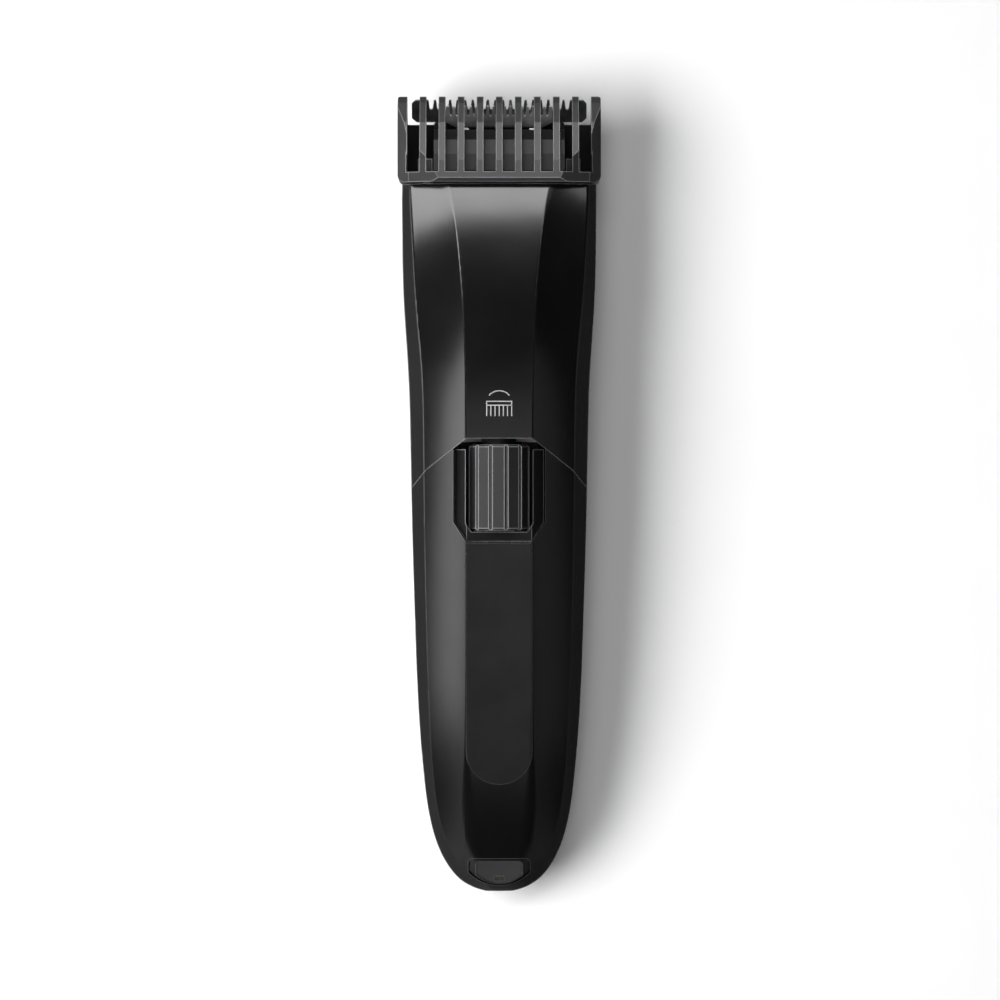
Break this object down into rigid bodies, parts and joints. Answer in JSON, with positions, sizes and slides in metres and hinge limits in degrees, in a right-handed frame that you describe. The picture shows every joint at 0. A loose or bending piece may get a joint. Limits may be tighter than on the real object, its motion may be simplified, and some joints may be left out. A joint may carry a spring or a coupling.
{
  "type": "hair clipper",
  "caption": "Cordless hair clipper lying on its back: slim black housing, length wheel with U-shaped power slide, toothed blade and sliding guide comb.",
  "frame": {"origin": "centre of the bounding box in plan, on the plane the back rests on", "axes": "+Z out of the front, +Y towards the blade, +X to the right of someone looking at the front"},
  "size_m": [0.0428, 0.1674, 0.0302],
  "materials": {
    "gloss_black": "satin gloss",
    "matte_black": "fine matte grain",
    "grip_rubber": "soft matte",
    "screw_steel": "plain",
    "holder_plastic": "satin",
    "seal_rubber": "matte",
    "blade_steel": "ground, dark",
    "spring_steel": "bright",
    "inner_plastic": "moulded",
    "motor_steel": "rolled",
    "brass": "plain",
    "magnet": "sintered",
    "battery_wrap": "shrink wrap",
    "board_green": "solder mask",
    "component_black": "moulded",
    "wire_red": "insulation",
    "socket_black": "smooth",
    "pin_bronze": "darkened",
    "wheel_black": "satin",
    "white_acetal": "smooth",
    "comb_plastic": "satin",
    "slide_black": "satin",
    "cutter_steel": "ground, bright",
    "copper": "enamelled wire"
  },
  "bodies": {
    "housing": {"front_cover_upper": "gloss_black", "front_cover_lower": "matte_black", "front_grip_insert": "grip_rubber", "rear_cover": "matte_black", "rear_grip_pad": "grip_rubber", "housing_screws": "screw_steel", "head_frame": "holder_plastic", "head_seal": "seal_rubber", "fixed_blade": "blade_steel", "blade_screws": "screw_steel", "cutter_spring": "spring_steel", "chassis": "inner_plastic", "wheel_axle": "screw_steel", "wheel_detent_spring": "spring_steel", "motor_can": "motor_steel", "motor_end_cap": "inner_plastic", "motor_bushes": "brass", "motor_magnets": "magnet", "motor_terminals": "brass", "motor_mount_screws": "screw_steel", "battery_cell": "battery_wrap", "battery_tabs": "spring_steel", "circuit_board": "board_green", "board_components": "component_black", "slide_switch_body": "component_black", "motor_leads": "wire_red", "socket_leads": "wire_red", "socket_housing": "socket_black", "socket_pins": "pin_bronze"},
    "wheel": {"zoom_wheel": "wheel_black", "wheel_cam_drum": "component_black"},
    "carriage": {"comb_carriage": "white_acetal", "follower_pin": "screw_steel"},
    "comb": {"trimming_comb": "comb_plastic"},
    "power_slide": {"power_slide": "slide_black", "switch_knob": "component_black"},
    "cutter": {"moving_cutter": "cutter_steel", "cutter_drive_bridge": "component_black"},
    "rotor": {"motor_shaft": "screw_steel", "rotor_core": "motor_steel", "rotor_coils": "copper", "commutator": "copper", "eccentric_cam": "white_acetal"}
  },
  "joints": [
    {"name": "wheel_turn", "type": "hinge", "parent": "housing", "child": "wheel", "pos_m": [0, 0, 0.0239], "axis": [0, -1, 0], "range_deg": [0, 285]},
    {"name": "comb_slide", "type": "slide", "parent": "housing", "child": "carriage", "axis": [0, 1, 0], "range_m": [0, 0.0095]},
    {"name": "comb_release", "type": "slide", "parent": "carriage", "child": "comb", "axis": [0, 1, 0], "range_m": [0, 0.028]},
    {"name": "power_switch", "type": "slide", "parent": "housing", "child": "power_slide", "axis": [0, -1, 0], "range_m": [0, 0.002]},
    {"name": "cutter_stroke", "type": "slide", "parent": "housing", "child": "cutter", "axis": [1, 0, 0], "range_m": [-0.0009, 0.0009]},
    {"name": "motor_spin", "type": "hinge", "parent": "housing", "child": "rotor", "pos_m": [0, 0.045, 0.0135], "axis": [0, 1, 0], "continuous": true}
  ],
  "couplings": [
    {"joint": "wheel_turn", "follows": "comb_slide", "rad_per_m": 523.6}
  ]
}
